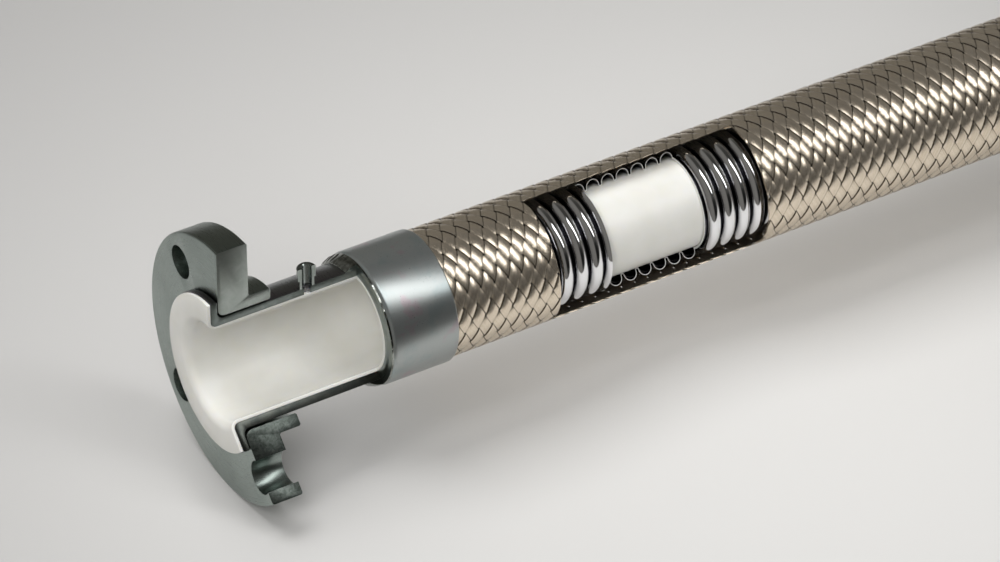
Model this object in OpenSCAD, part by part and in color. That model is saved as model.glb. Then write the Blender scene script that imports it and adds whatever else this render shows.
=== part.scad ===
// Metal-braided convoluted hose with a flared PTFE liner and swivelling lap flanges.
// +X runs along the hose from the centre of the near sealing face, +Z is up.
// Angles round the hose start at +Z and grow towards -Y.
// The near fitting, the braid and the convoluted hose are cut open to show the layers.

/* [Hose] */
// Length over the two sealing faces
hose_l = 697; // [640:0.5:900]
// Bore radius of the liner along the hose
liner_r = 23.7; // [20:0.1:28]
// Pitch of the convolutions
conv_pitch = 9.4; // [8.6:0.1:11]
// Height of a convolution from root to crest
conv_h = 5.1; // [4.6:0.1:6.2]
// Sheet thickness of the convoluted hose
conv_t = 0.4; // [0.3:0.05:0.6]
// Space between the crests and the braid
braid_space = 3.9; // [2.5:0.1:5]
// Thickness of the braid where one strip lies over another
braid_t = 1.2; // [1:0.05:1.6]
// Strips of wire that run each way round the braid
braid_strips = 14; // [12:2:18]
// Length of one crossing along the hose
braid_pitch = 8.4; // [7:0.1:10]

/* [Liner] */
// Wall of the liner
liner_t = 1.8; // [1.4:0.1:2.4]
// How much wider the bore is in the end fittings
end_step = 3.7; // [3:0.1:5]
// Radius of the bend from the bore to the sealing face
liner_bend = 5; // [4:0.1:6]
// Where the liner starts to narrow
taper_x = 92; // [90:0.5:95]
// Length of the narrowing
taper_l = 16; // [12:0.5:18]

/* [Stub end] */
// Wall of the stub tube
stub_t = 4.2; // [3.4:0.1:5]
// Thickness of the lap
lap_t = 3.6; // [3:0.1:5]
// How far the lap stands out from the tube
lap_w = 11.3; // [9:0.1:14]
// Fillet between lap and tube
lap_fillet = 4; // [2:0.1:4.5]

/* [Lap flange] */
// Outer diameter of the flange
flange_d = 152.4; // [148:0.1:165]
// Thickness of the flange plate
flange_t = 18.2; // [14:0.1:24]
// Length of the hub behind the plate
hub_l = 13; // [6:0.1:15]
// Wall of the hub
hub_t = 7.1; // [5:0.1:8]
// Rounding at the mouth of the flange bore
bore_round = 4.5; // [4:0.1:6]
// Rounding of the rim
rim_round = 1.4; // [0.5:0.1:3]
// Diameter of a bolt hole
bolt_d = 19; // [14:0.5:20]
// Metal left between a bolt hole and the rim
bolt_rim = 6.35; // [4:0.05:8]
// Number of bolt holes
bolt_count = 4; // [4:4:8]
// Angle of the first bolt hole
bolt_a = 138; // [137:0.5:140]

/* [Collar] */
// Distance from the sealing face to the front of the collar
collar_x = 89.5; // [86:0.5:92]
// Length of the collar
collar_l = 40.7; // [34:0.1:60]
// Wall of the collar over the braid
collar_t = 1.2; // [1:0.1:3]
// Rounding at the front of the collar
collar_round = 3; // [1.5:0.1:3.5]
// Length of the collar's seat on the stub tube
seat_l = 7.5; // [6:0.1:10]
// Length of the weld bead along the tube
bead_l = 7; // [5:0.1:9]
// Height of the weld bead over the tube
bead_h = 3.3; // [2:0.1:3.6]

/* [Vent nipple] */
// Distance from the sealing face to the nipple
vent_x = 59.4; // [52:0.1:66]
// Height of the nipple over the tube
vent_h = 13; // [9:0.1:18]
// Radius of the stem
vent_stem_r = 4.4; // [4:0.05:5]
// Radius of the head
vent_head_r = 5.45; // [5.2:0.05:6.5]
// Height of the head
vent_head_h = 7.6; // [4:0.1:8]
// Radius of the bore
vent_bore_r = 2.95; // [2.4:0.05:3.4]
// Radius of the weep hole through the stub tube
weep_r = 2.05; // [1:0.05:2.3]

/* [Cutaways] */
// First angle of the cut through the near fitting
cut_a0 = 0; // [0:1:10]
// Last angle of the cut through the near fitting
cut_a1 = 135; // [120:1:135]
// Left end of the window in the braid
braid_cut_x0 = 194.6; // [170:0.1:215]
// Right end of the window in the braid
braid_cut_x1 = 326.9; // [305:0.1:340]
// First angle of the window in the braid
braid_cut_a0 = -6.5; // [-20:0.1:10]
// Last angle of the window in the braid
braid_cut_a1 = 139; // [120:0.1:150]
// Left end of the window in the convoluted hose
conv_cut_x0 = 229.8; // [220:0.1:240]
// Right end of the window in the convoluted hose
conv_cut_x1 = 291.4; // [280:0.1:300]
// First angle of the window in the convoluted hose
conv_cut_a0 = -15.3; // [-30:0.1:0]
// Last angle of the window in the convoluted hose
conv_cut_a1 = 141; // [120:0.1:160]

/* [Clearances] */
// Gap between the liner and the stub end
liner_gap = 0.2; // [0.1:0.05:0.4]
// Gap between the liner and the roots of the convolutions
root_gap = 0.1; // [0.05:0.05:0.3]
// Axial play between the lap and the flange
flange_play = 0.6; // [0.4:0.1:1.5]
// Gap between the stub tube and the flange bore
flange_gap = 1.3; // [0.6:0.1:2]
// Gap between the braid and the collar
braid_gap = 0.1; // [0.05:0.05:0.3]
// Gap between the stub tube and the seat of the collar
seat_gap = 0.05; // [0.02:0.01:0.2]

/* [Hidden] */
$fn = 96;

end_r = liner_r + end_step;
stub_r = end_r + liner_t + liner_gap;
tube_r = stub_r + stub_t;
lap_x = liner_t + liner_gap;
lap_back = lap_x + lap_t;
lap_r = tube_r + lap_w;
lap_edge = 0.5;
flare_r = lap_r - lap_edge;

flange_x = lap_back + flange_play;
flange_back = flange_x + flange_t;
hub_x = flange_back + hub_l;
flange_bore_r = tube_r + flange_gap;
hub_r = flange_bore_r + hub_t;
hub_edge = 0.8;
flange_r = flange_d / 2;
bolt_circle_d = flange_d - bolt_d - 2 * bolt_rim;

root_r = liner_r + liner_t + root_gap;
crest_r = root_r + conv_t + conv_h;
braid_in_r = crest_r + braid_space;
braid_r = braid_in_r + braid_t;
conv_share = 0.64;
crest_bend = conv_share * conv_pitch / 2;
root_bend = conv_pitch / 2 - crest_bend;

seat_x = collar_x + seat_l;
weld_land = 1;
stub_x = seat_x - weld_land;
collar_bore_r = braid_r + braid_gap;
collar_r = collar_bore_r + collar_t;
collar_rear = collar_x + collar_l;
collar_edge = 0.9;
cut_stop = 0.2;
cut_l = collar_x - cut_stop;

crossings_round = 2 * braid_strips;
crossing_a = 360 / crossings_round;
crossing_x = braid_pitch / 2;
first_row_a = 6.94;
braid_x = seat_x + braid_gap;
crossings_long = floor((hose_l - 2 * braid_x) / crossing_x);
strip_dip = 0.55;
strip_sheet = 0.45;
strip_inset = 0.08;

eps = 0.01;
through = 1;

function arc(centre, r, a0, a1, steps = 6) = [for (k = [0 : steps]) let (a = a0 + (a1 - a0) * k / steps)
    [centre[0] + r * cos(a), centre[1] + r * sin(a)]];
function reversed(points) = [for (k = [len(points) - 1 : -1 : 0]) points[k]];
function around(a) = [-sin(a), cos(a)];

// Turns an outline of [radius, x] points round the hose axis.
module turned() rotate([0, 90, 0]) rotate_extrude() children();

// Mirrors a piece of the near fitting to the far end.
module at_far_end() translate([hose_l, 0, 0]) mirror([1, 0, 0]) children();

// A wedge from the axis outwards, between two angles and two places along the hose.
module wedge(x0, x1, a0, a1, reach) {
    steps = 6;
    rays = [for (k = [0 : steps]) reach * around(a0 + (a1 - a0) * k / steps)];
    translate([x0, 0, 0]) rotate([90, 0, 90]) linear_extrude(x1 - x0) polygon(concat([[0, 0]], rays));
}

module near_cut() wedge(-through, cut_l, cut_a0, cut_a1, flange_r * 1.4);

module flange_outline() polygon(concat(
    arc([flange_bore_r + bore_round, flange_x + bore_round], bore_round, -90, -180),
    [[flange_bore_r, hub_x - hub_edge], [flange_bore_r + hub_edge, hub_x], [hub_r - hub_edge, hub_x],
        [hub_r, hub_x - hub_edge]],
    arc([hub_r + rim_round, flange_back + rim_round], rim_round, 180, 270),
    arc([flange_r - rim_round, flange_back - rim_round], rim_round, 90, 0),
    arc([flange_r - rim_round, flange_x + rim_round], rim_round, 0, -90)));

module flange_blank() difference() {
    turned() flange_outline();
    for (k = [0 : bolt_count - 1]) rotate([bolt_a + k * 360 / bolt_count, 0, 0])
        translate([flange_x - through, 0, bolt_circle_d / 2]) rotate([0, 90, 0])
            cylinder(h = flange_t + 2 * through, d = bolt_d);
}

module stub_outline() polygon(concat(
    [[lap_r, lap_x + lap_edge], [lap_r - lap_edge, lap_x]],
    arc([end_r + liner_bend, liner_bend], liner_bend - liner_t - liner_gap, -90, -180),
    [[stub_r, stub_x], [tube_r, stub_x]],
    arc([tube_r + lap_fillet, lap_back + lap_fillet], lap_fillet, 180, 270),
    [[lap_r - lap_edge, lap_back], [lap_r, lap_back - lap_edge]]));

module stub_blank() difference() {
    turned() stub_outline();
    translate([vent_x, 0, 0]) cylinder(h = tube_r + through, r = weep_r);
}

module vent_outline() {
    vent_edge = 0.5;
    top = tube_r + vent_h;
    head = top - vent_head_h;
    polygon([[vent_bore_r, tube_r / 2], [vent_stem_r, tube_r / 2], [vent_stem_r, head], [vent_head_r, head],
        [vent_head_r, top - vent_edge], [vent_head_r - vent_edge, top], [vent_bore_r + vent_edge, top],
        [vent_bore_r, top - vent_edge]]);
}

module vent_blank() difference() {
    translate([vent_x, 0, 0]) rotate_extrude() vent_outline();
    translate([vent_x, 0, 0]) rotate([0, 90, 0]) cylinder(h = 4 * vent_head_r, r = tube_r, center = true);
}

module bead_outline() {
    toe_x = collar_x;
    bead_bend = (bead_l * bead_l + bead_h * bead_h) / (2 * bead_h);
    bead_in_r = tube_r + seat_gap;
    difference() {
        intersection() {
            translate([tube_r + bead_h - bead_bend, toe_x]) circle(r = bead_bend);
            translate([bead_in_r, toe_x - bead_l]) square([bead_h, bead_l + collar_round / 2]);
        }
        translate([collar_r - collar_round, collar_x + collar_round]) circle(r = collar_round + eps);
        translate([tube_r - through, collar_x - eps]) square([collar_r - collar_round - tube_r + through, seat_l]);
    }
}

module collar_outline() polygon(concat(
    [[tube_r + seat_gap, collar_x]],
    arc([collar_r - collar_round, collar_x + collar_round], collar_round, -90, 0),
    arc([collar_r - collar_edge, collar_rear - collar_edge], collar_edge, 0, 90, 4),
    [[collar_bore_r, collar_rear], [collar_bore_r, seat_x], [tube_r + seat_gap, seat_x]]));

// Filled outline of the convolutions. The inside of the sheet is the same outline with the sheet taken off.
module conv_filled(sheet) {
    crest = crest_bend - sheet;
    root = root_bend - conv_t / 2 + sheet;
    crest_c = crest_r - crest_bend;
    root_c = root_r + conv_t + root_bend - conv_t / 2;
    middle = hose_l / 2;
    count = floor((middle - seat_x - conv_pitch - crest_bend) / conv_pitch);
    half_l = middle - stub_x + (sheet > 0 ? through : 0);
    last_crest = (count + 0.5) * conv_pitch;
    translate([0, middle]) difference() {
        union() {
            translate([0, -half_l]) square([crest_c, 2 * half_l]);
            for (k = [-count - 1 : count]) translate([crest_c, (k + 0.5) * conv_pitch]) circle(r = crest, $fn = 48);
            for (side = [-1, 1]) translate([crest_c - eps, side > 0 ? last_crest : -half_l])
                square([crest + eps, half_l - last_crest]);
        }
        for (k = [-count : count]) translate([root_c, k * conv_pitch]) {
            circle(r = root, $fn = 48);
            translate([0, -root]) square([crest_c - root_c + eps, 2 * root]);
        }
    }
}

function liner_side(off) = concat(
    [[flare_r, off]],
    arc([end_r + liner_bend, liner_bend], liner_bend - off, -90, -180),
    [[end_r + off, taper_x], [liner_r + off, taper_x + taper_l],
        [liner_r + off, hose_l - taper_x - taper_l], [end_r + off, hose_l - taper_x]],
    arc([end_r + liner_bend, hose_l - liner_bend], liner_bend - off, 180, 90),
    [[flare_r, hose_l - off]]);

// The braid is a grid of crossings. Corners of a crossing stand at even grid places, centres at odd ones.
// In odd rows the strips that climb in angle lie on top, in even rows the strips that fall.
function grid_x(i) = braid_x + i * crossing_x;
function pressed(i) = grid_x(i) < collar_rear - crossing_x || grid_x(i) > hose_l - collar_rear + crossing_x;
function grid_point(i, j, r) = let (ray = r * around(first_row_a + j * crossing_a)) [grid_x(i), ray[0], ray[1]];
function corner(i, j) = i * crossings_round + (j + crossings_round) % crossings_round;
function turn_of(a) = a - 360 * floor((a - braid_cut_a0) / 360);
function cut_row(j) = turn_of(first_row_a + j * crossing_a) < braid_cut_a1;
function cut_out(i, j) = grid_x(i) > braid_cut_x0 && grid_x(i) < braid_cut_x1 && cut_row(j);
function held(i, j) = i > 0 && i < crossings_long && !cut_out(i, j);
function climbs(j) = (j + crossings_round) % 2 == 1;

// Middle of a strip's side where it lies on top, raised to the full thickness of the braid.
function strip_side(i, j, side) = let (
    step = side * (0.5 - strip_inset),
    turn = climbs(j) ? -step : step)
    grid_point(i + step, j + turn, braid_r);

function braid_points() = let (places = [for (i = [0 : crossings_long]) for (j = [0 : crossings_round - 1]) [i, j]])
    concat(
        [for (p = places) grid_point(p[0], p[1], pressed(p[0]) ? braid_r - braid_gap : braid_r - strip_dip)],
        [for (p = places) grid_point(p[0], p[1], braid_r - strip_dip - strip_sheet)],
        [for (p = places) strip_side(p[0], p[1], -1)],
        [for (p = places) strip_side(p[0], p[1], 1)]);

// Faces of one crossing: the strip on top, the steps along its two sides, and the inside of the braid.
function crossing_faces(i, j, l, b, r, t, near, far) = pressed(i - 1) || pressed(i + 1)
    ? [[l, b, r], [l, r, t]]
    : climbs(j)
    ? [[l, b, far], [l, far, near], [near, far, r], [near, r, t], [l, near, t], [b, r, far]]
    : [[near, b, r], [near, r, far], [l, near, far], [l, far, t], [l, b, near], [r, t, far]];

function braid_faces() = let (layer = (crossings_long + 1) * crossings_round)
    [for (i = [1 : crossings_long - 1]) for (j = [0 : crossings_round - 1]) if ((i + j) % 2 == 1 && held(i, j))
        let (l = corner(i - 1, j), r = corner(i + 1, j), b = corner(i, j - 1), t = corner(i, j + 1),
            near = 2 * layer + corner(i, j), far = 3 * layer + corner(i, j),
            edges = [[l, b, -1, -1], [b, r, 1, -1], [r, t, 1, 1], [t, l, -1, 1]])
        each concat(
            crossing_faces(i, j, l, b, r, t, near, far),
            [[l + layer, t + layer, r + layer], [l + layer, r + layer, b + layer]],
            [for (e = edges) if (!held(i + e[2], j + e[3])) each
                [[e[1], e[0], e[0] + layer], [e[1], e[0] + layer, e[1] + layer]]])];

module lap_flange() color([0.42, 0.46, 0.45]) difference() {
    flange_blank();
    near_cut();
}

module stub_end() color([0.33, 0.37, 0.36]) difference() {
    stub_blank();
    near_cut();
}

module vent_nipple() color([0.45, 0.48, 0.48]) difference() {
    vent_blank();
    near_cut();
}

module weld_bead() color([0.36, 0.38, 0.37]) difference() {
    turned() bead_outline();
    near_cut();
}

module collar() color([0.38, 0.43, 0.42]) turned() collar_outline();

module wire_braid() color([0.76, 0.69, 0.6]) polyhedron(points = braid_points(), faces = braid_faces(), convexity = 12);

module convoluted_hose() color([0.3, 0.3, 0.34]) difference() {
    turned() difference() {
        conv_filled(0);
        conv_filled(conv_t);
    }
    wedge(conv_cut_x0, conv_cut_x1, conv_cut_a0, conv_cut_a1, 2 * crest_r);
}

module ptfe_liner() color([0.87, 0.86, 0.8]) difference() {
    turned() polygon(concat(liner_side(0), reversed(liner_side(liner_t))));
    near_cut();
}

module far_lap_flange() color([0.42, 0.46, 0.45]) at_far_end() flange_blank();

module far_stub_end() color([0.33, 0.37, 0.36]) at_far_end() stub_blank();

module far_vent_nipple() color([0.45, 0.48, 0.48]) at_far_end() vent_blank();

module far_weld_bead() color([0.36, 0.38, 0.37]) at_far_end() turned() bead_outline();

module far_collar() color([0.38, 0.43, 0.42]) at_far_end() turned() collar_outline();

lap_flange();
stub_end();
vent_nipple();
weld_bead();
collar();
wire_braid();
convoluted_hose();
ptfe_liner();
far_lap_flange();
far_stub_end();
far_vent_nipple();
far_weld_bead();
far_collar();
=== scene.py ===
import math
import random

import bmesh
import bpy
import numpy as np
from mathutils import Matrix, Vector


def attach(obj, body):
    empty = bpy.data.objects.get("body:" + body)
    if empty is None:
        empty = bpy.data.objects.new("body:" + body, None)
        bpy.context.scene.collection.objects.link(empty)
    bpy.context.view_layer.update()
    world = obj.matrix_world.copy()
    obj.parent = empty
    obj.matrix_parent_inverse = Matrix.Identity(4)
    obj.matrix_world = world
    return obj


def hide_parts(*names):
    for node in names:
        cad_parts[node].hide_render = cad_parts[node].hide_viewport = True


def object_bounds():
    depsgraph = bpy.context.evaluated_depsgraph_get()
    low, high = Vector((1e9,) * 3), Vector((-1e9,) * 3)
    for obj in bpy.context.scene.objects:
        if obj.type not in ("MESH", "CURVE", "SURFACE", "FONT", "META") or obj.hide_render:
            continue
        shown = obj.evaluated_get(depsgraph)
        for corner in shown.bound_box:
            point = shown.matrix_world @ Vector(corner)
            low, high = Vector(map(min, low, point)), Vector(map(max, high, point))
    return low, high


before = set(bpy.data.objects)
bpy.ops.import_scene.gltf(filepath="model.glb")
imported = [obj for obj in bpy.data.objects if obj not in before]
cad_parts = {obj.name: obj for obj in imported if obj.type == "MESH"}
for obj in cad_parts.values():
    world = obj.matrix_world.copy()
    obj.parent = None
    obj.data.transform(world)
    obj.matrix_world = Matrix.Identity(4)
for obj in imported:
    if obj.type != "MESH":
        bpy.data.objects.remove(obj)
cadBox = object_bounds()
mm = 0.001                   # sizes of the pieces are in mm, and the scene is in metres


# Camera

cameraView = {
    "azimuth": -31.118,      # degrees, as the photograph looks at the hose
    "elevation": 37.432,
    "distance": 3.0042,      # metres from the point in the middle of the picture
    "lookAt": (0.14656, -0.0516, 0.03706),
    "lens": 206.08,          # mm on a 36 mm wide sensor
}


def addCamera(view):
    azimuth, elevation = math.radians(view["azimuth"]), math.radians(view["elevation"])
    level = math.cos(elevation)
    back = Vector((math.sin(azimuth) * level, -math.cos(azimuth) * level, math.sin(elevation)))
    data = bpy.data.cameras.new("photoCamera")
    data.lens = view["lens"]
    data.sensor_width = 36
    data.clip_end = 50
    camera = bpy.data.objects.new("photoCamera", data)
    bpy.context.scene.collection.objects.link(camera)
    camera.location = Vector(view["lookAt"]) + back * view["distance"]
    camera.rotation_euler = (math.pi / 2 - elevation, 0, azimuth)
    bpy.context.scene.camera = camera


addCamera(cameraView)
print("camera in place")


# Node and colour helpers

def linear(hexText):
    # sRGB hex to the linear values that Blender wants
    channels = [int(hexText[k:k + 2], 16) / 255 for k in (0, 2, 4)]
    return tuple(c / 12.92 if c <= 0.04045 else ((c + 0.055) / 1.055) ** 2.4 for c in channels) + (1.0,)


def feed(tree, node, inputs):
    # inputs are values to set, or sockets to link
    for key, value in inputs.items():
        if isinstance(value, bpy.types.NodeSocket):
            tree.links.new(value, node.inputs[key])
        else:
            node.inputs[key].default_value = value


def addNode(tree, kind, inputs=None, stops=(), **settings):
    # stops are the places and colours of a colour ramp
    node = tree.nodes.new(kind)
    for key, value in settings.items():
        setattr(node, key, value)
    feed(tree, node, inputs or {})
    for k, (place, colour) in enumerate(stops):
        element = node.color_ramp.elements[k] if k < 2 else node.color_ramp.elements.new(place)
        element.position = place
        element.color = linear(colour)
    return node


def newMaterial(name):
    material = bpy.data.materials.new(name)
    material.use_nodes = True
    tree = material.node_tree
    tree.nodes.clear()
    shader = addNode(tree, "ShaderNodeBsdfPrincipled")
    addNode(tree, "ShaderNodeOutputMaterial", {"Surface": shader.outputs[0]})
    return material, tree, shader


def roundAxis(tree):
    # Object coordinates, and the same unrolled round the hose axis: x, angle and radius
    coord = addNode(tree, "ShaderNodeTexCoord").outputs["Object"]
    parts = addNode(tree, "ShaderNodeSeparateXYZ", {"Vector": coord}).outputs
    angle = addNode(tree, "ShaderNodeMath", {0: parts["Y"], 1: parts["Z"]}, operation="ARCTAN2").outputs[0]
    flat = addNode(tree, "ShaderNodeCombineXYZ", {"X": 0.0, "Y": parts["Y"], "Z": parts["Z"]}).outputs[0]
    radius = addNode(tree, "ShaderNodeVectorMath", {0: flat}, operation="LENGTH").outputs["Value"]
    return coord, parts["X"], angle, radius


# Materials

turnedSteel = {
    "base": "9ea8a3", "patch": "919b96",
    "patchSize": 26,         # mm, cloudy passivation
    "roughness": (0.25, 0.36),
    "lathePitch": 0.35,      # mm between tool marks, a little coarse so that they show
    "markRun": 0.0015,       # how little a mark changes on its way round
    "markDepth": 0.05,       # mm
    "markStrength": 0.1,
}


# Forged steel, faced on a lathe and passivated: soft reflections with fine rings, cloudy and green-grey
def makeTurnedSteel(name, values):
    material, tree, shader = newMaterial(name)
    coord, x, angle, radius = roundAxis(tree)
    cloud = addNode(tree, "ShaderNodeTexNoise", {
        "Vector": coord, "Scale": 1 / (values["patchSize"] * mm), "Detail": 3.0,
    }).outputs["Fac"]
    film = addNode(tree, "ShaderNodeValToRGB", {"Fac": cloud},
                   stops=[(0.35, values["patch"]), (0.65, values["base"])]).outputs["Color"]
    # the noise is short in x and radius and long in angle, so it runs round the axis like tool marks
    run = values["markRun"]
    drawnOut = addNode(tree, "ShaderNodeMath", {0: angle, 1: run}, operation="MULTIPLY").outputs[0]
    rings = addNode(tree, "ShaderNodeCombineXYZ", {"X": x, "Y": radius, "Z": drawnOut}).outputs[0]
    marks = addNode(tree, "ShaderNodeTexNoise", {
        "Vector": rings, "Scale": 1 / (values["lathePitch"] * mm), "Detail": 2.0, "Roughness": 0.6,
    }).outputs["Fac"]
    low, high = values["roughness"]
    rough = addNode(tree, "ShaderNodeMapRange", {
        "Value": marks, "From Min": 0.3, "From Max": 0.7, "To Min": low, "To Max": high,
    }).outputs[0]
    bump = addNode(tree, "ShaderNodeBump", {
        "Height": marks, "Strength": values["markStrength"], "Distance": values["markDepth"] * mm,
    }).outputs[0]
    feed(tree, shader, {"Base Color": film, "Roughness": rough, "Normal": bump, "Metallic": 1.0})
    return material


groundSteel = {
    # these default tones are dark as painted shade, for the lower cut of the flange
    "base": "6c736e", "dark": "474d49", "roughness": 0.36, "metallic": 1.0,
    "grain": 2.4,            # mm, blotches that a coarse wheel leaves
    "depth": 0.12,           # mm
    "strength": 0.35,
}


# A ground section: blotchy and matt, so that it doesn't mirror the lamps, and dark by default as painted
# shade
def makeGroundSteel(name, values):
    material, tree, shader = newMaterial(name)
    coord = addNode(tree, "ShaderNodeTexCoord").outputs["Object"]
    blotch = addNode(tree, "ShaderNodeTexNoise", {
        "Vector": coord, "Scale": 1 / (values["grain"] * mm),
        "Detail": 5.0, "Roughness": 0.62, "Distortion": 0.8,
    }).outputs["Fac"]
    tone = addNode(tree, "ShaderNodeValToRGB", {"Fac": blotch},
                   stops=[(0.36, values["dark"]), (0.64, values["base"])]).outputs["Color"]
    bump = addNode(tree, "ShaderNodeBump", {
        "Height": blotch, "Strength": values["strength"], "Distance": values["depth"] * mm,
    }).outputs[0]
    feed(tree, shader, {"Base Color": tone, "Normal": bump, "Metallic": values["metallic"],
                        "Roughness": values["roughness"]})
    return material


braidSteel = {
    "base": "f0e4d2", "shade": "ddceb8", "roughness": 0.27, "metallic": 0.9,
    "rim": "2a2723", "rimStart": 0.44, "rimEnd": 0.49,     # painted shade along the strip edges, from and to these strip widths from a strip's middle
    "wires": 11,             # wires side by side in one strip
    "wireDepth": 0.02,       # mm
    "wireStrength": 0.2,
    "streak": 60,            # mm, length of a change of tone along a wire
}


# Drawn stainless wire laid side by side in flat strips: warm and glossy, with faint streaks along the wires
# and painted shade at the strip edges
def makeBraidSteel(name, values):
    material, tree, shader = newMaterial(name)
    uv = addNode(tree, "ShaderNodeUVMap", uv_map="strip").outputs[0]
    across = addNode(tree, "ShaderNodeSeparateXYZ", {"Vector": uv}).outputs["X"]
    perWidth = values["wires"] * math.tau
    turn = addNode(tree, "ShaderNodeMath", {0: across, 1: perWidth}, operation="MULTIPLY").outputs[0]
    wires = addNode(tree, "ShaderNodeMath", {0: turn}, operation="COSINE").outputs[0]
    stretched = addNode(tree, "ShaderNodeMapping", {
        "Vector": uv, "Scale": (values["wires"], 1 / values["streak"], 1),
    }).outputs[0]
    streaks = addNode(tree, "ShaderNodeTexNoise", {
        "Vector": stretched, "Scale": 1.0, "Detail": 2.0,
    }).outputs["Fac"]
    tone = addNode(tree, "ShaderNodeValToRGB", {"Fac": streaks},
                   stops=[(0.3, values["shade"]), (0.7, values["base"])]).outputs["Color"]
    # the outermost wires are darkened as painted shade, where the next strip dips under or over
    aside = addNode(tree, "ShaderNodeMath", {0: across, 1: 0.5}, operation="SUBTRACT").outputs[0]
    away = addNode(tree, "ShaderNodeMath", {0: aside}, operation="ABSOLUTE").outputs[0]
    rim = addNode(tree, "ShaderNodeMapRange", {
        "Value": away, "From Min": values["rimStart"], "From Max": values["rimEnd"],
    }, interpolation_type="SMOOTHSTEP").outputs[0]
    # sockets 6 and 7 of a mix node are its two colours
    # the dark colour of the painted shade at the strip edges
    paintedEdgeShade = linear(values["rim"])
    edgeShadedTone = addNode(tree, "ShaderNodeMix", {0: rim, 6: tone, 7: paintedEdgeShade}, data_type="RGBA").outputs[2]
    bump = addNode(tree, "ShaderNodeBump", {
        "Height": wires, "Strength": values["wireStrength"], "Distance": values["wireDepth"] * mm,
    }).outputs[0]
    feed(tree, shader, {"Base Color": edgeShadedTone, "Normal": bump, "Metallic": values["metallic"],
                        "Roughness": values["roughness"]})
    return material


rolledSheet = {
    "base": "f0f0f2", "groove": "5c5c62",
    "deep": 27.0, "high": 30.3,         # mm from the axis, between which the painted shade in the grooves fades into the bright tone
    "roughness": (0.05, 0.13), "patchSize": 14,
}


# Thin stainless sheet rolled into rings and bright annealed: nearly a mirror, with painted shade darkening
# the grooves
def makeRolledSheet(name, values):
    material, tree, shader = newMaterial(name)
    coord, _, _, radius = roundAxis(tree)
    cloud = addNode(tree, "ShaderNodeTexNoise", {
        "Vector": coord, "Scale": 1 / (values["patchSize"] * mm), "Detail": 3.0,
    }).outputs["Fac"]
    low, high = values["roughness"]
    rough = addNode(tree, "ShaderNodeMapRange", {"Value": cloud, "To Min": low, "To Max": high}).outputs[0]
    # painted shade: the sheet is darker the nearer it lies to the groove bottoms
    height = addNode(tree, "ShaderNodeMapRange", {
        "Value": radius, "From Min": values["deep"] * mm, "From Max": values["high"] * mm,
    }).outputs[0]
    tone = addNode(tree, "ShaderNodeValToRGB", {"Fac": height},
                   stops=[(0, values["groove"]), (1, values["base"])]).outputs["Color"]
    feed(tree, shader, {"Base Color": tone, "Roughness": rough, "Metallic": 1.0})
    return material


collarSteel = {
    "base": "adb2b1", "tintA": "b1a7ab", "tintB": "a5aeae", "roughness": (0.25, 0.33), "metallic": 0.84,
    "tintSize": 16,          # mm, heat tint left by welding
    "satin": 0.6,            # mm, grain of the satin finish
}


# Swaged steel sleeve, satin polished: a soft broad highlight, with faint pink and teal heat tint
def makeCollarSteel(name, values):
    material, tree, shader = newMaterial(name)
    coord = addNode(tree, "ShaderNodeTexCoord").outputs["Object"]
    heat = addNode(tree, "ShaderNodeTexNoise", {
        "Vector": coord, "Scale": 1 / (values["tintSize"] * mm), "Detail": 3.0, "Roughness": 0.6,
    }).outputs["Fac"]
    base = values["base"]
    tint = addNode(tree, "ShaderNodeValToRGB", {"Fac": heat}, stops=[
        (0.36, values["tintB"]), (0.66, values["tintA"]), (0.46, base), (0.58, base),
    ]).outputs["Color"]
    fine = addNode(tree, "ShaderNodeTexNoise", {
        "Vector": coord, "Scale": 1 / (values["satin"] * mm), "Detail": 3.0,
    }).outputs["Fac"]
    low, high = values["roughness"]
    rough = addNode(tree, "ShaderNodeMapRange", {"Value": fine, "To Min": low, "To Max": high}).outputs[0]
    feed(tree, shader, {"Base Color": tint, "Roughness": rough, "Metallic": values["metallic"]})
    return material


weldSteel = {
    "base": "aaaea9", "scale": "6a6c65", "roughness": 0.2,
    "spotSize": 2.5,         # mm, spots of oxide
    "spotDepth": 0.2,        # mm
    "spotStrength": 0.4,
}


# As-welded steel: shiny ripples with dark oxide between them
def makeWeldSteel(name, values):
    material, tree, shader = newMaterial(name)
    coord = addNode(tree, "ShaderNodeTexCoord").outputs["Object"]
    spots = addNode(tree, "ShaderNodeTexNoise", {
        "Vector": coord, "Scale": 1 / (values["spotSize"] * mm), "Detail": 4.0, "Roughness": 0.6,
    }).outputs["Fac"]
    oxide = addNode(tree, "ShaderNodeValToRGB", {"Fac": spots},
                    stops=[(0.35, values["scale"]), (0.6, values["base"])]).outputs["Color"]
    bump = addNode(tree, "ShaderNodeBump", {
        "Height": spots, "Strength": values["spotStrength"], "Distance": values["spotDepth"] * mm,
    }).outputs[0]
    feed(tree, shader, {"Base Color": oxide, "Normal": bump, "Metallic": 1.0,
                        "Roughness": values["roughness"]})
    return material


ptfe = {
    "base": "f7f6f1", "cloud": "f1f0e9", "cloudSize": 18, "roughness": 0.27, "ior": 1.35,
    "glow": 0.35, "glowDepth": 1.5,     # share and mm of the light that spreads inside
    "glowTint": (1.0, 0.9, 0.7),        # red spreads furthest
}


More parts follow.
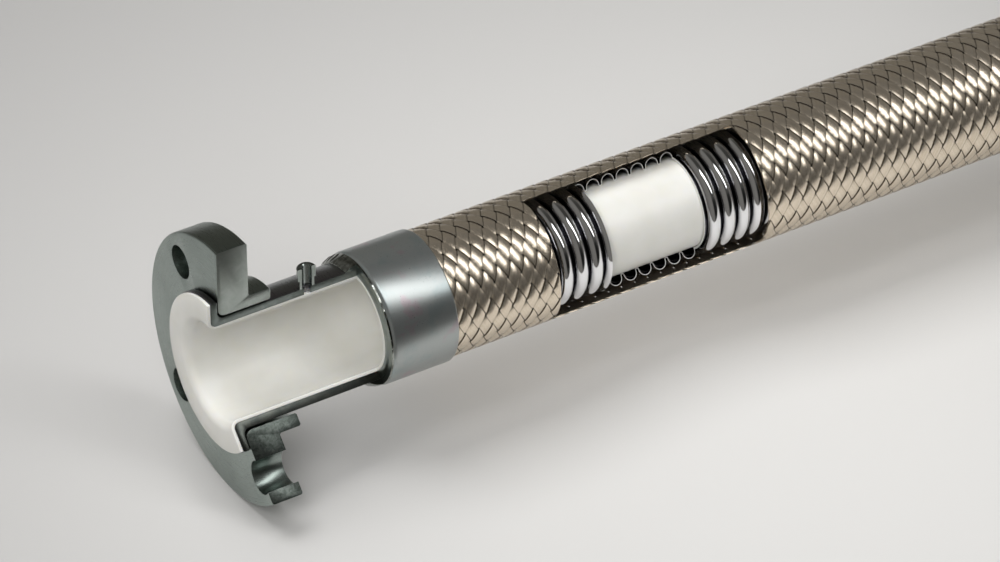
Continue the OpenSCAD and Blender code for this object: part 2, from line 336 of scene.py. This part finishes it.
# Extruded PTFE: waxy and slightly see-through, so that its shadows are soft and its edges glow
def makePtfe(name, values):
    material, tree, shader = newMaterial(name)
    coord = addNode(tree, "ShaderNodeTexCoord").outputs["Object"]
    cloud = addNode(tree, "ShaderNodeTexNoise", {
        "Vector": coord, "Scale": 1 / (values["cloudSize"] * mm), "Detail": 2.0,
    }).outputs["Fac"]
    tone = addNode(tree, "ShaderNodeValToRGB", {"Fac": cloud},
                   stops=[(0.3, values["cloud"]), (0.7, values["base"])]).outputs["Color"]
    depths = [share * values["glowDepth"] * mm for share in values["glowTint"]]
    feed(tree, shader, {"Base Color": tone, "Roughness": values["roughness"],
                        "Subsurface Weight": values["glow"], "Subsurface Radius": depths,
                        "Subsurface Scale": 1.0})
    shader.inputs["IOR"].default_value = values["ior"]
    return material


# The cut faces: the lower cuts of the flange, the stub and the weld bead get darker tones as painted shade,
# the other cuts lighter ones
paintedShadeFlangeCut = makeGroundSteel("paintedShadeFlangeCutSteel", groundSteel)
paleGroundCut = makeGroundSteel("paleGroundCutSteel", {
    **groundSteel, "base": "b4bbb7", "dark": "a4aca7", "roughness": 0.3, "grain": 9, "depth": 0.02,
})
sawnStub = makeGroundSteel("paleGroundCutStubSteel", {
    **groundSteel, "base": "8f9794", "dark": "7d8582", "roughness": 0.3, "grain": 7, "depth": 0.02,
})
# darker tones: painted shade on the lower cut faces of the stub and the weld bead
paintedShadeStubCut = makeGroundSteel("paintedShadeStubCutSteel", {
    **groundSteel, "base": "62655f", "dark": "4f5350", "roughness": 0.3, "grain": 8, "depth": 0.02,
})
sheetEdge = makeGroundSteel("shearedSheetEdge", {
    **groundSteel, "base": "f6f6f4", "dark": "ebebe9", "roughness": 0.5, "metallic": 0.3,
    "grain": 1, "depth": 0.02,
})
flangeSteel = makeTurnedSteel("passivatedFlangeSteel", turnedSteel)
stubSteel = makeTurnedSteel("turnedStubSteel", {**turnedSteel, "base": "8e9494", "patch": "837f85"})
nippleSteel = makeTurnedSteel("turnedNippleSteel", {
    **turnedSteel, "base": "aab3b0", "patch": "9ba29f", "roughness": (0.15, 0.26),
})
linerPtfe = makePtfe("extrudedPtfe", ptfe)

# Each piece has its own surface first, then that of the upper and of the lower face of its cut
surfaces = {
    "flange": [flangeSteel, paleGroundCut, paintedShadeFlangeCut],
    "stub": [stubSteel, sawnStub, paintedShadeStubCut],
    "nipple": [nippleSteel, paleGroundCut, paleGroundCut],
    "collar": [makeCollarSteel("satinCollarSteel", collarSteel)],
    "weld": [makeWeldSteel("rippledWeldSteel", weldSteel), sawnStub, paintedShadeStubCut],
    "braid": [makeBraidSteel("drawnBraidWire", braidSteel)],
    "rings": [makeRolledSheet("brightRolledSheet", rolledSheet), sheetEdge, sheetEdge],
    "liner": [linerPtfe, linerPtfe, linerPtfe],
}
print("materials made")


# Sizes that several pieces share, the same as the solids have

size = {
    "length": cadBox[1][0] / mm,
    "linerWall": 1.8, "linerRadius": 23.7, "endRadius": 27.4, "linerBend": 5.0, "flareRadius": 44.4,
    "taperStart": 92.0, "taperEnd": 108.0,
    "stubBore": 29.4, "tubeRadius": 33.6, "stubEnd": 96.0,
    "lapFront": 2.0, "lapBack": 5.6, "lapRadius": 44.9, "lapFillet": 4.0,
    "cutEnd": 89.3, "cutAngles": (0, 135),          # the wedge cut out of the near fitting
    "cutReach": 110,         # well past the flange's rim
}


# Mesh helpers

def onHose(x, radius, angle):
    # x along the hose and radius in mm, angle in degrees from +Z towards -Y
    a = math.radians(angle)
    return (x * mm, -radius * math.sin(a) * mm, radius * math.cos(a) * mm)


def arc(centre, radius, start, end, steps=10):
    angles = [math.radians(start + (end - start) * k / steps) for k in range(steps + 1)]
    return [(centre[0] + radius * math.cos(a), centre[1] + radius * math.sin(a)) for a in angles]


def newPiece(name, vertices, faces, slots):
    mesh = bpy.data.meshes.new(name)
    mesh.from_pydata([tuple(v) for v in vertices], [], [tuple(f) for f in faces])
    mesh.validate()
    for material in slots:
        mesh.materials.append(material)
    piece = bpy.data.objects.new(name, mesh)
    bpy.context.scene.collection.objects.link(piece)
    return piece


# The quads of a closed outline of count points that is repeated in steps closed turns
def turnFaces(count, steps):
    return [(k * count + i, k * count + (i + 1) % count, (k + 1) % steps * count + (i + 1) % count,
             (k + 1) % steps * count + i) for k in range(steps) for i in range(count)]


# Turns a closed outline of (radius, x) points round the hose axis
def lathe(name, outline, slots, steps=144):
    vertices = [onHose(x, r, 360 * k / steps) for k in range(steps) for r, x in outline]
    return outward(newPiece(name, vertices, turnFaces(len(outline), steps), slots))


def applyModifiers(piece):
    depsgraph = bpy.context.evaluated_depsgraph_get()
    mesh = bpy.data.meshes.new_from_object(piece.evaluated_get(depsgraph))
    piece.modifiers.clear()
    piece.data = mesh
    return piece


def cutWith(piece, cutters):
    for cutter in cutters:
        modifier = piece.modifiers.new("cut", "BOOLEAN")
        modifier.operation = "DIFFERENCE"
        modifier.object = cutter
        modifier.solver = "EXACT"
    applyModifiers(piece)
    for cutter in cutters:
        bpy.data.objects.remove(cutter)
    return piece


# Every machined edge is broken by a small bevel in the second surface, which catches the light
def softenEdges(piece, width, angle=32):
    if width:
        modifier = piece.modifiers.new("edges", "BEVEL")
        modifier.width = width * mm
        modifier.segments = 2
        modifier.limit_method = "ANGLE"
        modifier.angle_limit = math.radians(angle)
        modifier.miter_outer = "MITER_ARC"
        modifier.material = min(1, len(piece.data.materials) - 1)
        applyModifiers(piece)
    piece.data.shade_smooth()
    piece.data.set_sharp_from_angle(angle=math.radians(angle))
    return piece


# Turns all faces outward, after joining points that are closer than merge
def outward(piece, merge=0):
    work = bmesh.new()
    work.from_mesh(piece.data)
    if merge:
        bmesh.ops.remove_doubles(work, verts=work.verts, dist=merge)
    bmesh.ops.recalc_face_normals(work, faces=work.faces)
    work.to_mesh(piece.data)
    work.free()
    return piece


# A wedge from x0 to x1 along the hose and from angle a0 to a1 round it
def wedgeCutter(x0, x1, a0, a1, reach):
    steps = 6
    rays = [(0.0, 0.0)] + [(reach, a0 + (a1 - a0) * k / steps) for k in range(steps + 1)]
    count = len(rays)
    vertices = [onHose(x, r, a) for x in (x0, x1) for r, a in rays]
    faces = [tuple(range(count)), tuple(range(2 * count - 1, count - 1, -1))]
    faces += [(i, (i + 1) % count, (i + 1) % count + count, i + count) for i in range(count)]
    wedge = newPiece("wedge", vertices, faces, [None, None, None])
    # the faces that it cuts take the surfaces of an upper and a lower cut
    for k, surface in ((0, 1), (1, 1), (2, 1), (count + 1, 2)):
        wedge.data.polygons[k].material_index = surface
    return outward(wedge)


# A rod between two points, all in metres
def rodCutter(start, end, radius, steps=64):
    start, end = Vector(start), Vector(end)
    along = (end - start).normalized()
    side = along.orthogonal().normalized()
    other = along.cross(side)
    turns = [math.tau * k / steps for k in range(steps)]
    vertices = [p + (side * math.cos(t) + other * math.sin(t)) * radius for p in (start, end) for t in turns]
    faces = [tuple(range(steps)), tuple(range(2 * steps - 1, steps - 1, -1))]
    faces += [(i, (i + 1) % steps, (i + 1) % steps + steps, i + steps) for i in range(steps)]
    return outward(newPiece("rod", vertices, faces, [None]))


# The far fitting is the near one mirrored along the hose
def mirrorToFarEnd(piece):
    for vertex in piece.data.vertices:
        vertex.co.x = size["length"] * mm - vertex.co.x
    piece.data.flip_normals()
    return piece


# Ties a piece to the body that moves it, and hides the solid that it stands for
def dress(piece, node, body):
    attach(piece, body)
    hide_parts(node)
    return piece


def cutFitting(piece):
    return cutWith(piece, [wedgeCutter(-2, size["cutEnd"], *size["cutAngles"], size["cutReach"])])


# Lap flange

flange = {
    "front": 6.2, "back": 24.4, "hubEnd": 37.4, "bore": 34.9, "hubRadius": 42.0, "radius": cadBox[1][1] / mm,
    "boreRound": 4.5, "rimRound": 1.4, "hubChamfer": 0.8,
    "boltCircle": 60.35, "boltRadius": 9.5, "firstBolt": 138, "bolts": 4,
    "edge": 0.3,
}


def makeFlange(name, f, cut):
    rim, chamfer = f["rimRound"], f["hubChamfer"]
    outline = arc((f["bore"] + f["boreRound"], f["front"] + f["boreRound"]), f["boreRound"], -90, -180)
    outline += [(f["bore"], f["hubEnd"] - chamfer), (f["bore"] + chamfer, f["hubEnd"]),
                (f["hubRadius"] - chamfer, f["hubEnd"]), (f["hubRadius"], f["hubEnd"] - chamfer)]
    outline += arc((f["hubRadius"] + rim, f["back"] + rim), rim, 180, 270, 6)
    outline += arc((f["radius"] - rim, f["back"] - rim), rim, 90, 0, 6)
    outline += arc((f["radius"] - rim, f["front"] + rim), rim, 0, -90, 6)
    piece = lathe(name, outline, surfaces["flange"], 192)
    cutters = []
    for k in range(f["bolts"]):
        angle = f["firstBolt"] + 360 * k / f["bolts"]
        ends = [onHose(x, f["boltCircle"], angle) for x in (f["front"] - 2, f["back"] + 2)]
        cutters.append(rodCutter(*ends, f["boltRadius"] * mm))
    cutWith(piece, cutters)
    if cut:
        cutFitting(piece)
    return softenEdges(piece, f["edge"])


nearFlange = makeFlange("nearLapFlange", flange, True)
farFlange = mirrorToFarEnd(makeFlange("farLapFlange", flange, False))
dress(nearFlange, "lap_flange", "near_flange")
dress(farFlange, "far_lap_flange", "far_flange")
print("flanges made")


# Stub end

stub = {
    "lapEdge": 0.5, "edge": 0.22,
    "ventPlace": 59.4,       # mm along the hose, also that of the vent nipple
    "weepRadius": 2.05,
}


def makeStub(name, s, cut):
    rim, edge = size["lapRadius"], s["lapEdge"]
    outline = [(rim, size["lapFront"] + edge), (rim - edge, size["lapFront"])]
    bend = size["linerBend"] - size["lapFront"]
    outline += arc((size["endRadius"] + size["linerBend"], size["linerBend"]), bend, -90, -180)
    outline += [(size["stubBore"], size["stubEnd"]), (size["tubeRadius"], size["stubEnd"])]
    fillet = size["lapFillet"]
    outline += arc((size["tubeRadius"] + fillet, size["lapBack"] + fillet), fillet, 180, 270)
    outline += [(rim - edge, size["lapBack"]), (rim, size["lapBack"] - edge)]
    piece = lathe(name, outline, surfaces["stub"])
    place = s["ventPlace"] * mm
    cutWith(piece, [rodCutter((place, 0, 0), (place, 0, 0.05), s["weepRadius"] * mm, 32)])
    if cut:
        cutFitting(piece)
    return softenEdges(piece, s["edge"])


dress(makeStub("nearStubEnd", stub, True), "stub_end", "hose")
dress(mirrorToFarEnd(makeStub("farStubEnd", stub, False)), "far_stub_end", "hose")
print("stub ends made")


# Vent nipple

nipple = {
    "top": 46.6, "headBase": 39.0, "foot": 20,      # heights over the hose axis
    "stem": 4.4, "head": 5.45, "bore": 2.95,        # radii
    "chamfer": 0.5, "edge": 0.15, "steps": 64,
}


def makeNipple(name, n, cut):
    chamfer, place, steps = n["chamfer"], stub["ventPlace"], n["steps"]
    outline = [(n["bore"], n["foot"]), (n["stem"], n["foot"]), (n["stem"], n["headBase"]),
               (n["head"], n["headBase"]), (n["head"], n["top"] - chamfer), (n["head"] - chamfer, n["top"]),
               (n["bore"] + chamfer, n["top"]), (n["bore"], n["top"] - chamfer)]
    turns = [math.tau * k / steps for k in range(steps)]
    vertices = [((place + r * math.cos(a)) * mm, r * math.sin(a) * mm, z * mm)
                for a in turns for r, z in outline]
    piece = outward(newPiece(name, vertices, turnFaces(len(outline), steps), surfaces["nipple"]))
    # its foot follows the stub tube
    ends = [((place + way * 4 * n["head"]) * mm, 0, 0) for way in (-1, 1)]
    cutWith(piece, [rodCutter(*ends, size["tubeRadius"] * mm, 144)])
    if cut:
        cutFitting(piece)
    return softenEdges(piece, n["edge"])


dress(makeNipple("nearVentNipple", nipple, True), "vent_nipple", "hose")
dress(mirrorToFarEnd(makeNipple("farVentNipple", nipple, False)), "far_vent_nipple", "hose")
print("vent nipples made")


# Collar

collar = {
    "front": 89.5, "rear": 130.2, "radius": 37.5, "round": 3.0, "rearRound": 0.9,
    "seat": 33.65, "seatEnd": 97.0, "bore": 36.3,
}


def makeCollar(name, c):
    outline = [(c["seat"], c["front"])]
    outline += arc((c["radius"] - c["round"], c["front"] + c["round"]), c["round"], -90, 0, 12)
    outline += arc((c["radius"] - c["rearRound"], c["rear"] - c["rearRound"]), c["rearRound"], 0, 90, 6)
    outline += [(c["bore"], c["rear"]), (c["bore"], c["seatEnd"]), (c["seat"], c["seatEnd"])]
    return softenEdges(lathe(name, outline, surfaces["collar"], 192), 0)


dress(makeCollar("nearCollar", collar), "collar", "hose")
dress(mirrorToFarEnd(makeCollar("farCollar", collar)), "far_collar", "hose")
print("collars made")


# Weld bead

bead = {
    "toe": 82.5, "meet": 90.3, "crown": 89.5, "height": 3.3,
    "ripples": 44,           # one ripple for each dab of the torch
    "depth": 0.5,            # mm
    "lean": 0.45,            # ripples, how far the middle of a ripple trails its ends
    "swell": 0.6,            # below 1 a ripple rises quickly and falls off at once
    "unevenness": 0.09,
    "drop": 0.9,             # depths, keeps the highest ripple just under the crown
    "across": 14, "perRipple": 12,      # mesh steps
    "seed": 4,
}


def makeBead(name, b, cut):
    draw = random.Random(b["seed"])
    drift = [draw.uniform(-1, 1) for _ in range(b["ripples"])]
    base = size["tubeRadius"] + 0.05
    length = b["crown"] - b["toe"]
    bend = (length ** 2 + b["height"] ** 2) / (2 * b["height"])
    centre = size["tubeRadius"] + b["height"] - bend
    stations, steps = b["across"], b["ripples"] * b["perRipple"]
    rounding = collar["round"]
    meetAngle = math.degrees(math.asin((b["meet"] - collar["front"] - rounding) / rounding))
    back = arc((collar["radius"] - rounding, collar["front"] + rounding), rounding, meetAngle, -90, 3)[1:]
    back += [(base, collar["front"]), (base, b["toe"])]
    vertices = []
    for k in range(steps):
        angle = 360 * k / steps
        ripple = k * b["ripples"] / steps
        wobble = drift[int(ripple) % b["ripples"]] * b["unevenness"]
        for i in range(stations + 1):
            x = b["toe"] + (b["meet"] - b["toe"]) * i / stations
            across = 2 * i / stations - 1
            crown = centre + math.sqrt(bend ** 2 - (x - b["crown"]) ** 2)
            phase = (ripple - b["lean"] * (1 - across * across)) % 1
            # the ripples fade out at both toes
            top = crown + b["depth"] * (phase ** b["swell"] - b["drop"] + wobble) * (1 - abs(across) ** 3)
            vertices.append(onHose(x, max(top, base + 0.02), angle))
        vertices += [onHose(x, r, angle) for r, x in back]
    piece = outward(newPiece(name, vertices, turnFaces(stations + 1 + len(back), steps), surfaces["weld"]))
    if cut:
        cutFitting(piece)
    return softenEdges(piece, 0, 50)


nearBead = makeBead("nearWeldBead", bead, True)
farBead = mirrorToFarEnd(makeBead("farWeldBead", {**bead, "seed": 9}, False))
dress(nearBead, "weld_bead", "hose")
dress(farBead, "far_weld_bead", "hose")
print("weld beads made")


# Liner

liner = {
    "edge": 0.25,
    "rings": (30, 60), "middle": (200, 300, 400, 500),     # mesh rings that only keep the faces short
}


def linerSide(off):
    # the bore where off is 0, and the outside where it is the wall
    bend = size["linerBend"]
    near = [(size["flareRadius"], off)] + arc((size["endRadius"] + bend, bend), bend - off, -90, -180, 12)
    near += [(size["endRadius"] + off, x) for x in (*liner["rings"], size["taperStart"])]
    near += [(size["linerRadius"] + off, size["taperEnd"])]
    far = [(r, size["length"] - x) for r, x in reversed(near)]
    return near + [(size["linerRadius"] + off, x) for x in liner["middle"]] + far


def makeLiner():
    wall = linerSide(0) + linerSide(size["linerWall"])[::-1]
    return softenEdges(cutFitting(lathe("ptfeLiner", wall, surfaces["liner"], 160)), liner["edge"])


dress(makeLiner(), "ptfe_liner", "hose")
print("liner made")


# Convoluted hose

rings = {
    "pitch": 9.4, "crest": 31.1, "root": 26.0, "sheet": 0.4, "count": 52,
    "crestBend": 4.0,        # mm, wide round crests and narrow grooves
    "window": (229.8, 291.4, -15.3, 141),          # mm along the hose and degrees round it
    "shown": (190, 335),     # mm along the hose where the rings can be seen and are made finer
    "fine": (6, 12), "plain": (2, 3),               # mesh steps over a groove and over a crest
}


def ringSide(off):
    # the outside of the sheet, or its inside where off is the sheet's thickness
    crestBend, rootBend = rings["crestBend"], rings["pitch"] / 2 - rings["crestBend"]
    crestCentre, rootCentre = rings["crest"] - crestBend, rings["root"] + rootBend
    last = rings["count"] - 1
    points = [(rings["crest"] - off, size["stubEnd"])]
    for k in range(rings["count"]):
        centre = size["length"] / 2 + (k - last / 2) * rings["pitch"]
        shown = rings["shown"][0] < centre < rings["shown"][1]
        rootSteps, crestSteps = rings["fine"] if shown else rings["plain"]
        if k > 0:
            root = centre - rings["pitch"] / 2
            points += [(r, root + x) for r, x in arc((rootCentre, 0), rootBend + off, 270, 90, rootSteps)]
        ends = (-90 if k else 0, 90 if k < last else 0)
        points += [(r, centre + x) for r, x in arc((crestCentre, 0), crestBend - off, *ends, crestSteps)]
    return points + [(rings["crest"] - off, size["length"] - size["stubEnd"])]


def makeRings():
    outline = ringSide(0) + ringSide(rings["sheet"])[::-1]
    piece = lathe("convolutedHose", outline, surfaces["rings"], 88)
    cutWith(piece, [wedgeCutter(*rings["window"], 60)])
    return softenEdges(piece, 0, 40)


dress(makeRings(), "convoluted_hose", "hose")
print("convoluted hose made")


# Wire braid

braid = {
    "start": 97.1, "crossing": 4.2,     # mm, first crossing and from one crossing to the next
    "firstRow": 6.94, "strips": 14,     # degrees to the first row, and strips that run each way
    "radius": 35.5, "wave": 0.42,       # mm, how far a strip goes out and in as it passes over and under
    "flatness": 3.0,         # a strip runs flat where it is on top and dips quickly between
    "width": 6.7, "thickness": 0.16, "crown": 0.03,
    "flat": 0.94,            # share of the width that is flat, before the strip rounds off
    "steps": 8,              # mesh steps from one crossing to the next
    "ends": (99.0, 598.0),   # under the collars
    "window": (194.6, 326.9, -6.5, 139),            # mm along the hose and degrees round it
    "fray": 0.1,             # crossings, unevenness of the ends along the window
    "seed": 7,
}


# way is 1 for the strips that climb in angle along the hose and -1 for those that fall
def makeStrips(name, way):
    b = braid
    draw = random.Random(b["seed"] + way)
    rowStep = 180 / b["strips"]
    rowArc = math.radians(rowStep) * b["radius"]
    slope = math.atan2(rowArc, b["crossing"])
    half, thin = b["width"] / 2, b["thickness"] / 2
    flat = b["flat"] * half
    profile = [(-half, 0), (-flat, thin), (0, thin + b["crown"]), (flat, thin),
               (half, 0), (flat, -thin), (-flat, -thin)]
    x0, x1, a0, a1 = b["window"]
    vertices, faces, uvs = [], [], []

    # places along strip c are counted in crossings; u is the place across it in mm
    def endAt(x, u):
        return (x - b["start"] + way * math.sin(slope) * u) / b["crossing"]

    def windowAt(c, turn, u):
        aside = way * math.cos(slope) * u / rowArc
        across = sorted(c + way * (a + 360 * turn - b["firstRow"]) / rowStep - aside for a in (a0, a1))
        return max(across[0], endAt(x0, u)), min(across[1], endAt(x1, u))

    def section(c, place, ends):
        ring = []
        for (u, lift), (begin, finish) in zip(profile, ends):
            i = min(max(place, begin), finish)
            at = i - way * math.sin(slope) * u / b["crossing"]
            row = way * (i - c) + math.cos(slope) * u / rowArc
            swing = math.cos(math.pi * (way * (at - c) + row) / 2)
            height = -way * b["wave"] * math.tanh(b["flatness"] * swing)
            ring.append(len(vertices))
            vertices.append(onHose(b["start"] + at * b["crossing"], b["radius"] + height + lift,
                                   b["firstRow"] + row * rowStep))
            uvs.append((u / b["width"] + 0.5, (i - c) * b["crossing"] / math.cos(slope)))
        return ring

    for c in range(1, 2 * b["strips"], 2):
        begins = [endAt(b["ends"][0], u) for u, lift in profile]
        for turn in sorted(range(-6, 7), key=lambda turn: way * turn) + [None]:
            if turn is None:
                gaps = [(endAt(b["ends"][1], u), None) for u, lift in profile]
            else:
                gaps = [windowAt(c, turn, u) for u, lift in profile]
                if windowAt(c, turn, 0)[0] >= windowAt(c, turn, 0)[1]:
                    continue
            uneven = [draw.uniform(0, b["fray"]) if turn is not None else 0 for _ in range(2)]
            ends = [(begin, max(begin, gap[0] - uneven[0])) for begin, gap in zip(begins, gaps)]
            first = math.floor(min(begin for begin, finish in ends) * b["steps"])
            last = math.ceil(max(finish for begin, finish in ends) * b["steps"])
            before = None
            for k in range(first, last + 1):
                ring = section(c, k / b["steps"], ends)
                count = len(ring)
                if before:
                    faces += [(before[n], before[(n + 1) % count], ring[(n + 1) % count], ring[n])
                              for n in range(count)]
                else:
                    faces.append(ring[::-1])
                before = ring
            faces.append(before)
            if turn is not None:
                begins = [gap[1] + uneven[1] for gap in gaps]
    piece = newPiece(name, vertices, faces, surfaces["braid"])
    layer = piece.data.uv_layers.new(name="strip")
    corners = np.zeros(len(piece.data.loops), np.int32)
    piece.data.loops.foreach_get("vertex_index", corners)
    layer.data.foreach_set("uv", np.array(uvs, np.float32)[corners].ravel())
    return softenEdges(outward(piece, 1e-6), 0, 55)


dress(makeStrips("climbingBraidStrips", 1), "wire_braid", "hose")
dress(makeStrips("fallingBraidStrips", -1), "wire_braid", "hose")
print("braid woven")


# Floor and light

studio = {
    # the paper's colour fades from floor to floorEdge over floorFade metres from floorMiddle: painted falloff
    # of light
    "floor": "e4e3e1", "floorEdge": "a8a7a6", "floorMiddle": (0.35, -0.1), "floorFade": 0.9,
    "tableFront": 0.07,      # metres from the origin to the front edge of the table, just out of the picture
    "tableSize": 3.0,
    "paperRoughness": 0.8, "paperShine": 0.1,
    # tones of the dark room in a circle round the hose: from below over the back, the top and the front
    "room": [(0.0, "c4c1bc"), (0.11, "c4c1bc"), (0.23, "7a7873"), (0.26, "595751"), (0.387, "52504b"),
             (0.42, "3f3e3b"), (0.45, "393835"), (0.64, "393835"), (0.667, "484744"), (0.69, "282827"),
             (0.715, "1c1c1b"), (0.76, "171716"), (0.78, "242423"), (0.8, "484744"), (0.822, "686663"),
             (0.844, "918f8b"), (0.866, "abaaa5"), (0.9, "bdbbb6"), (1.0, "c4c1bc")],
    "slice": 0.35, "sliceEdge": (0.25, 0.6),        # x of the slice's middle, and its soft edge from there
    "side": "6e6c68",        # tone of the walls to the left and right
    "seen": "cbc8c2",        # tone behind the table, where the camera looks past it
}

lamps = {
    "overheadSoftbox": {
        "place": (-0.3, 0.75, 2.1), "aim": (0.2, 0.0, 0.0), "along": (1, 0, 0),
        "sides": (1.5, 1.5), "power": 32, "mirrored": False,
    },
    "fillSoftbox": {
        "place": (-1.2, -1.3, 1.6), "aim": (0.1, 0.0, 0.0), "along": (1, -1, 0),
        "sides": (1.3, 1.3), "power": 25, "mirrored": False,
    },
    # the long lamp that the metal mirrors as one bright line
    "stripSoftbox": {
        "place": (1.3, -1.46, 2.0), "aim": (1.3, -1.46, 0.0), "along": (0.65, -0.76, 0),
        "sides": (3.2, 0.6), "power": 24, "mirrored": True,
    },
}


# A table of pale paper, its colour painted darker away from where it is lit most: a painted falloff of light
def makeFloor(s):
    height = cadBox[0][2]
    azimuth = math.radians(cameraView["azimuth"])
    right = Vector((math.cos(azimuth), math.sin(azimuth), 0))
    back = Vector((-math.sin(azimuth), math.cos(azimuth), 0))
    reach, front = s["tableSize"], -s["tableFront"]
    corners = [right * u + back * v
               for u, v in ((-reach, front), (reach, front), (reach, 2 * reach), (-reach, 2 * reach))]
    material, tree, shader = newMaterial("paleStudioPaper")
    coord = addNode(tree, "ShaderNodeTexCoord").outputs["Object"]
    middle = (*s["floorMiddle"], height)
    away = addNode(tree, "ShaderNodeVectorMath", {0: coord, 1: middle}, operation="DISTANCE").outputs["Value"]
    fade = addNode(tree, "ShaderNodeMapRange", {"Value": away, "From Max": s["floorFade"]},
                   interpolation_type="SMOOTHSTEP").outputs[0]
    # painted falloff of light: darker paper further from the middle
    tone = addNode(tree, "ShaderNodeValToRGB", {"Fac": fade},
                   stops=[(0, s["floor"]), (1, s["floorEdge"])]).outputs["Color"]
    feed(tree, shader, {"Base Color": tone, "Roughness": s["paperRoughness"]})
    shader.inputs["Specular IOR Level"].default_value = s["paperShine"]
    newPiece("studioFloor", [(c.x, c.y, height) for c in corners], [(0, 1, 2, 3)], [material])


def makeWorld(s):
    world = bpy.data.worlds.new("studioWorld")
    world.use_nodes = True
    bpy.context.scene.world = world
    tree = world.node_tree
    tree.nodes.clear()
    direction = addNode(tree, "ShaderNodeTexCoord").outputs["Generated"]
    parts = addNode(tree, "ShaderNodeSeparateXYZ", {"Vector": direction}).outputs
    forward = addNode(tree, "ShaderNodeMath", {0: parts["Y"], 1: -1.0}, operation="MULTIPLY").outputs[0]
    turn = addNode(tree, "ShaderNodeMath", {0: forward, 1: parts["Z"]}, operation="ARCTAN2").outputs[0]
    place = addNode(tree, "ShaderNodeMapRange", {
        "Value": turn, "From Min": -math.pi, "From Max": math.pi,
    }).outputs[0]
    room = addNode(tree, "ShaderNodeValToRGB", {"Fac": place}, stops=s["room"]).outputs["Color"]
    # the hose mirrors one slice of the room only, and the walls beside that slice are lighter
    aside = addNode(tree, "ShaderNodeMath", {0: parts["X"], 1: s["slice"]}, operation="SUBTRACT").outputs[0]
    far = addNode(tree, "ShaderNodeMath", {0: aside}, operation="ABSOLUTE").outputs[0]
    side = addNode(tree, "ShaderNodeMapRange", {
        "Value": far, "From Min": s["sliceEdge"][0], "From Max": s["sliceEdge"][1],
    }, interpolation_type="SMOOTHSTEP").outputs[0]
    walls, backdrop = linear(s["side"]), linear(s["seen"])
    lit = addNode(tree, "ShaderNodeMix", {0: side, 6: room, 7: walls}, data_type="RGBA").outputs[2]
    seen = addNode(tree, "ShaderNodeLightPath").outputs["Is Camera Ray"]
    shown = addNode(tree, "ShaderNodeMix", {0: seen, 6: lit, 7: backdrop}, data_type="RGBA").outputs[2]
    background = addNode(tree, "ShaderNodeBackground", {"Color": shown, "Strength": 1.0})
    addNode(tree, "ShaderNodeOutputWorld", {"Surface": background.outputs[0]})


def addSoftbox(name, lamp):
    data = bpy.data.lights.new(name, "AREA")
    data.shape = "RECTANGLE"
    data.size, data.size_y = lamp["sides"]
    data.energy = lamp["power"]
    light = bpy.data.objects.new(name, data)
    light.visible_glossy = lamp["mirrored"]
    bpy.context.scene.collection.objects.link(light)
    # it shines along its own -Z, and its first side runs along its own X
    towards = (Vector(lamp["place"]) - Vector(lamp["aim"])).normalized()
    up = towards.cross(Vector(lamp["along"])).normalized()
    turned = Matrix((up.cross(towards), up, towards)).transposed()
    light.matrix_world = Matrix.Translation(lamp["place"]) @ turned.to_4x4()


makeFloor(studio)
makeWorld(studio)
for name, lamp in lamps.items():
    addSoftbox(name, lamp)
bpy.context.scene.view_settings.view_transform = "Standard"
print("studio ready")
